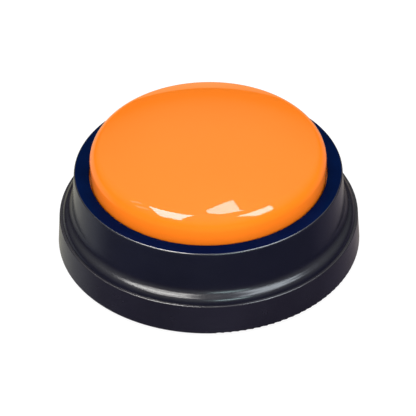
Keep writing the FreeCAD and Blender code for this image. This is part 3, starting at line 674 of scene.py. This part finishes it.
def cover_wall_point(cove_radius, height):
    """Point on the tapered wall line that leaves the cove arc of the given radius."""
    across, up = polar(cove_radius, 180 + WALL_TAPER)
    lean = math.tan(math.radians(WALL_TAPER))
    return COVE[0] + across - (height - COVE[1] - up) * lean, height


def cover_piece():
    """Bulge, cove and tapered wall in satin black, with the polished navy ring on top."""
    tongue_inner, tongue_outer, tongue_bottom = TONGUE
    inner = COVE_RADIUS + COVER_WALL
    inner_turn = math.degrees(math.acos((COVE[0] - tongue_inner) / inner))
    edge = cover_wall_point(COVE_RADIUS, RING_TOP)
    lip = (RING_BORE, RING_INNER_TOP)
    wall = cover_wall_point(COVE_RADIUS, PARTING + COVE_RADIUS * 2)
    under = (RING_BORE, RING_UNDERSIDE)
    outline = [(tongue_outer, tongue_bottom), (tongue_outer, PARTING), *arc(*BULGE, *BULGE_SPAN, 16),
               *arc(COVE, COVE_RADIUS, COVE_LOW_END, 180 + WALL_TAPER, 20)[1:]]
    outline += [cover_wall_point(COVE_RADIUS, height) for height in WALL_HEIGHTS]
    outline += rounded(wall, edge, lip, RING_EDGE_ROUNDING, 10)
    outline += rounded(edge, lip, under, RING_LIP_ROUNDING, 6)
    outline += [under, cover_wall_point(inner, RING_UNDERSIDE)]
    outline += arc(COVE, inner, 180 + WALL_TAPER, 180 + inner_turn, 12) + [(tongue_inner, tongue_bottom)]
    data = bmesh.new()
    lathe(data, outline)
    for number in range(1, 5):
        low, high = (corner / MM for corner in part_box(f"foot_{number}"))
        centre = (low + high) / 2
        boss(data, (centre.x, centre.y), **CASE_BOSS)
    satin = base_plastic("cover_plastic", (0.0050, 0.0054, 0.0115), (0.0068, 0.0072, 0.015),
                         (0.17, 0.24), 0.002)

    def finish(face):
        """Index of a face's material: satin body, polished ring, or outer corner with a stronger
        reflection and a painted highlight.
        """
        middle = face.calc_center_median() / MM
        across = middle.xy.length
        in_bore = middle.z > RING_UNDERSIDE and across < RING_BORE + BORE_REACH
        if in_bore or (middle.z > RING_TOP - LAND_DEPTH and face.normal.z > LAND_FACING):
            return 1
        above = middle.z > RING_TOP - CORNER_DEPTH
        return 2 if above and face.normal.z > CORNER_FACING and across > RING_BORE else 0

    # The third finish is a painted highlight line on the ring's outer rounding, with a stronger
    # reflection as well.
    finishes = (satin, ring_gloss(), edge_gloss("cover_edge", (0.006, 0.0065, 0.013), 0.5))
    settle(new_piece("cover", data, *finishes, choose=finish), "base", "cover_black", "upper_housing")


def refined(node, name, body, slot, material):
    """Copy of a CAD node with its coincident points merged and its shading evened out."""
    source = NODES[node].data
    mesh = bpy.data.meshes.new(name)
    points = [vertex.co for vertex in source.vertices]
    mesh.from_pydata(points, [], [list(face.vertices) for face in source.polygons])
    data = bmesh.new()
    data.from_mesh(mesh)
    bmesh.ops.remove_doubles(data, verts=data.verts, dist=1e-6)
    bpy.data.meshes.remove(mesh)
    return settle(new_piece(name, data, material, sharp=25), body, slot, node)


def corner_arc(before, corner, after, radius):
    """Centre, first and last point of the arc that rounds a corner."""
    points = rounded(before, corner, after, radius, 2)
    middle = (Vector(points[0]) + Vector(points[2])) / 2
    inner = Vector(corner) - middle
    half = (Vector(before) - Vector(corner)).angle(Vector(after) - Vector(corner)) / 2
    return Vector(corner) - inner.normalized() * (radius / math.sin(half)), points[0], points[2]


def tray_piece():
    """Tray whose skirt is shaded as the true cone and roundings that its facets stand for."""
    piece = refined("lower_housing", "tray", "base", "tray_black", FINISHES["tray_black"])
    piece.modifiers.clear()
    foot, top = (SKIRT_RADIUS, SKIRT_BOTTOM), (SKIRT_TOP_RADIUS, PARTING)
    low_centre, _, low_end = corner_arc((TRAY_BORE, SKIRT_BOTTOM), foot, top, SKIRT_FOOT_ROUNDING)
    high_centre, high_start, high_end = corner_arc(foot, top, (TRAY_BORE, PARTING), SKIRT_TOP_ROUNDING)
    lean = Vector((PARTING - SKIRT_BOTTOM, SKIRT_RADIUS - SKIRT_TOP_RADIUS)).normalized()
    level = 0.999
    skin = (high_end[0] - 0.05) * MM
    mesh = piece.data
    # The skirt's top rounding gets the edge finish: a painted highlight line, with a stronger reflection
    # as well.
    mesh.materials.append(edge_gloss("tray_edge", (0.009, 0.008, 0.014), 0.0))
    normals = [corner.vector.copy() for corner in mesh.corner_normals]
    for face in mesh.polygons:
        if abs(face.normal.z) > level or face.center.xy.length < skin:
            continue
        if face.normal.xy.dot(face.center.xy) < 0:
            continue
        face.material_index = int(face.center.z > high_start[1] * MM)
        for loop in face.loop_indices:
            spot = mesh.vertices[mesh.loops[loop].vertex_index].co / MM
            across, up = spot.xy.length, spot.z
            slope = lean
            if up < low_end[1]:
                slope = (Vector((across, up)) - low_centre).normalized()
            elif up > high_start[1]:
                slope = (Vector((across, up)) - high_centre).normalized()
            outward = spot.xy / across * slope.x
            normals[loop] = Vector((outward.x, outward.y, slope.y))
    mesh.normals_split_custom_set(normals)


def spring_piece(node):
    """Return spring with closed end turns."""
    low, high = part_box(node)
    centre = (low + high) / 2
    radius = (high.x - low.x) / 2 - SPRING_WIRE * MM
    bottom, top = low.z + SPRING_WIRE * MM, high.z - SPRING_WIRE * MM
    closed = SPRING_END_RISE * MM
    path = []
    for index in range(SPRING_TURNS * SPRING_STEPS + 1):
        turn = index / SPRING_STEPS
        middle = min(max(turn - 1, 0), SPRING_TURNS - 2) / (SPRING_TURNS - 2)
        height = closed * min(turn, 1) + closed * max(turn - SPRING_TURNS + 1, 0)
        height += (top - bottom - 2 * closed) * middle
        x, y = polar(radius, 360 * turn)
        path.append(Vector((centre.x + x, centre.y + y, bottom + height)))
    data = bmesh.new()
    sweep(data, path, SPRING_WIRE * MM)
    piece = new_piece(f"coil_{node[-1]}", data, FINISHES["spring_steel"], sharp=60)
    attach(piece, "base")
    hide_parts(node)
    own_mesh(piece)


def foot_piece(node):
    """Rubber foot with a rounded rim, a ring groove and a dimple."""
    low, high = (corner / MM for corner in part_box(node))
    centre = (low + high) / 2
    radius = (high.x - low.x) / 2
    dimple_floor, dimple_rim, dimple_depth = FOOT_DIMPLE
    inside, floor_in, floor_out, outside, groove_depth = FOOT_GROOVE
    outline = [(0, dimple_depth), (dimple_floor, dimple_depth), (dimple_rim, 0.0), (inside, 0.0),
               (floor_in, groove_depth), (floor_out, groove_depth), (outside, 0.0)]
    outline += rounded((0, 0), (radius, 0), (radius, high.z), FOOT_ROUNDING, 6)
    outline += [(radius, high.z), (0, high.z)]
    data = bmesh.new()
    lathe(data, outline, (centre.x, centre.y), FOOT_SEGMENTS)
    settle(new_piece(f"pad_{node}", data, FINISHES["foot_rubber"]), "base", "foot_rubber", node)


# Light and camera.

def world():
    """Studio surround: an even fill, a pale backdrop, and a graded sky and sweep for reflections."""
    surround = bpy.data.worlds.new("studio")
    bpy.context.scene.world = surround
    surround.use_nodes = True
    tree = surround.node_tree
    graded = tree.nodes["Background"]
    coords = tree.nodes.new("ShaderNodeTexCoord")
    split = tree.nodes.new("ShaderNodeSeparateXYZ")
    tree.links.new(coords.outputs["Generated"], split.inputs["Vector"])

    def ramp(source, stops):
        """Grading over a direction component from -1 to 1."""
        halved = tree.nodes.new("ShaderNodeMath")
        halved.operation = "MULTIPLY_ADD"
        halved.inputs[1].default_value = 0.5
        halved.inputs[2].default_value = 0.5
        tree.links.new(source, halved.inputs[0])
        made = tree.nodes.new("ShaderNodeValToRGB")
        elements = made.color_ramp.elements
        while len(elements) < len(stops):
            elements.new(1.0)
        for element, (position, colour) in zip(elements, stops):
            element.position = position
            element.color = (*colour, 1.0)
        tree.links.new(halved.outputs[0], made.inputs["Fac"])
        return made.outputs["Color"]

    def blend(kind, factor, first, second):
        mixed = tree.nodes.new("ShaderNodeMix")
        mixed.data_type = "RGBA"
        mixed.blend_type = kind
        if isinstance(factor, float):
            mixed.inputs["Factor"].default_value = factor
        else:
            tree.links.new(factor, mixed.inputs["Factor"])
        tree.links.new(first, mixed.inputs["A"])
        tree.links.new(second, mixed.inputs["B"])
        return mixed.outputs["Result"]

    sky = ramp(split.outputs["Z"], SKY)
    sweep_behind = ramp(split.outputs["Y"], SWEEP_DEPTH)
    sideways = ramp(split.outputs["X"], SWEEP_SIDES)
    below = tree.nodes.new("ShaderNodeMath")
    below.operation = "LESS_THAN"
    below.inputs[1].default_value = 0.0
    tree.links.new(split.outputs["Z"], below.inputs[0])
    ground = blend("MULTIPLY", 1.0, sweep_behind, sideways)
    tree.links.new(blend("MIX", below.outputs[0], sky, ground), graded.inputs["Color"])

    path = tree.nodes.new("ShaderNodeLightPath")
    joined = None
    for ray, colour in (("Is Glossy Ray", FILL), ("Is Camera Ray", BACKDROP)):
        plain = tree.nodes.new("ShaderNodeBackground")
        plain.inputs["Color"].default_value = (*colour, 1)
        mixed = tree.nodes.new("ShaderNodeMixShader")
        tree.links.new(path.outputs[ray], mixed.inputs["Fac"])
        if joined is None:
            tree.links.new(plain.outputs[0], mixed.inputs[1])
            tree.links.new(graded.outputs[0], mixed.inputs[2])
        else:
            tree.links.new(joined, mixed.inputs[1])
            tree.links.new(plain.outputs[0], mixed.inputs[2])
        joined = mixed.outputs[0]
    tree.links.new(joined, tree.nodes["World Output"].inputs["Surface"])


def emitter(name, colour, strength):
    """Glow that lets the surround show through, so that a panel never darkens a reflection."""
    material = bpy.data.materials.new(name)
    material.use_nodes = True
    tree = material.node_tree
    tree.nodes.remove(tree.nodes["Principled BSDF"])
    glow = tree.nodes.new("ShaderNodeEmission")
    glow.inputs["Color"].default_value = (*colour, 1)
    glow.inputs["Strength"].default_value = strength
    clear = tree.nodes.new("ShaderNodeBsdfTransparent")
    both = tree.nodes.new("ShaderNodeAddShader")
    tree.links.new(glow.outputs[0], both.inputs[0])
    tree.links.new(clear.outputs[0], both.inputs[1])
    tree.links.new(both.outputs[0], tree.nodes["Material Output"].inputs["Surface"])
    return material


def softbox(name, place, size, power, colour):
    """Area light aimed at the object, for diffuse light only."""
    light = bpy.data.lights.new(name, "AREA")
    light.shape = "SQUARE"
    light.size = size
    light.energy = power
    light.color = colour
    lamp = bpy.data.objects.new(name, light)
    lamp.location = place
    lamp.rotation_mode = "QUATERNION"
    lamp.rotation_quaternion = (CAMERA_AIM - lamp.location).to_track_quat("-Z", "Y")
    lamp.visible_glossy = False
    bpy.context.scene.collection.objects.link(lamp)


def card(name, middle, turn, size, strength, colour, receivers):
    """Flat glowing rectangle that shows only in the reflections of the given pieces."""
    data = bmesh.new()
    across, along = size[0] / 2, size[1] / 2
    corners = ((-across, -along), (across, -along), (across, along), (-across, along))
    data.faces.new([data.verts.new(middle + turn @ Vector((x, y, 0))) for x, y in corners])
    panel = new_piece(name, data, emitter(name, colour, strength))
    panel.visible_camera = False
    panel.visible_diffuse = False
    panel.visible_shadow = False
    panel.visible_transmission = False
    lit = bpy.data.collections.new(f"lit_by_{name}")
    for receiver in receivers:
        lit.objects.link(bpy.data.objects[receiver])
    panel.light_linking.receiver_collection = lit


def front_card():
    """Small panel above the camera, for the low front of the base."""
    facing = (CAMERA_AIM - FRONT_CARD_PLACE).to_track_quat("-Z", "Y")
    card("front_card", FRONT_CARD_PLACE, facing, FRONT_CARD_SIZE, FRONT_CARD_STRENGTH, FRONT_CARD_COLOUR,
         ("cover",))


def floor():
    """White floor: bright enough to leave only a soft contact shadow, and clear from below."""
    data = bmesh.new()
    half = FLOOR_HALF
    corners = ((-half, -half), (half, -half), (half, half), (-half, half))
    data.faces.new([data.verts.new((x, y, 0)) for x, y in corners])
    shader = Shader("floor_white")
    shader.bsdf.inputs["Base Color"].default_value = (*FLOOR_COLOUR, 1)
    shader.bsdf.inputs["Roughness"].default_value = 1.0
    shader.value(specular=0.0)
    shader.bsdf.inputs["Emission Color"].default_value = (1, 1, 1, 1)
    shader.bsdf.inputs["Emission Strength"].default_value = FLOOR_GLOW
    clear = shader.add("ShaderNodeBsdfTransparent")
    geometry = shader.add("ShaderNodeNewGeometry")
    mix = shader.add("ShaderNodeMixShader")
    shader.link(geometry.outputs["Backfacing"], mix.inputs["Fac"])
    shader.link(shader.bsdf.outputs[0], mix.inputs[1])
    shader.link(clear.outputs[0], mix.inputs[2])
    shader.link(mix.outputs[0], shader.tree.nodes["Material Output"].inputs["Surface"])
    plane = new_piece("floor", data, shader.material)
    plane.visible_glossy = False


def camera():
    """Camera at the photograph's angle, its height counted from the skirt's lower edge."""
    data = bpy.data.cameras.new("camera")
    data.lens = CAMERA_LENS
    data.sensor_width = SENSOR
    data.clip_start, data.clip_end = CAMERA_CLIP
    eye = bpy.data.objects.new("camera", data)
    eye.location = Vector((0, -math.cos(CAMERA_ELEVATION), math.sin(CAMERA_ELEVATION))) * CAMERA_DISTANCE
    eye.location.z += SKIRT_BOTTOM * MM
    eye.rotation_mode = "QUATERNION"
    aim = (CAMERA_AIM - eye.location).to_track_quat("-Z", "Y")
    eye.rotation_quaternion = aim @ Quaternion((0, 0, 1), CAMERA_ROLL)
    bpy.context.scene.collection.objects.link(eye)
    bpy.context.scene.camera = eye


# Making.

bpy.context.scene.view_settings.view_transform = "Standard"
camera()
world()
for label, settings in SOFTBOXES.items():
    softbox(label, *settings)
floor()

FINISHES = plain_finishes()
dome_piece()
cover_piece()
tray_piece()
front_card()
for label, (receivers, strength, colour, middle, size, turn) in PANELS.items():
    flat = Quaternion((0, 0, 1), math.radians(turn))
    card(label, Vector((*middle, PANEL_HEIGHT)), flat, size, strength, colour, receivers)
refined("battery_door", "bay_door", "battery_door", "tray_black", FINISHES["tray_black"])
for number in range(1, 4):
    spring_piece(f"return_spring_{number}")
for number in range(1, 5):
    foot_piece(f"foot_{number}")

SPECIAL = {"battery_1": cell_sleeve("battery_1", 1), "battery_2": cell_sleeve("battery_2", -1),
           "resistors": chip_ends()}
SLOTS = {part["node"]: part["material_slot"] for part in frame["record"]["subparts"]}
for name, node in NODES.items():
    if node.hide_render:
        continue
    node.data.materials.clear()
    node.data.materials.append(SPECIAL.get(name) or FINISHES[SLOTS[name]])
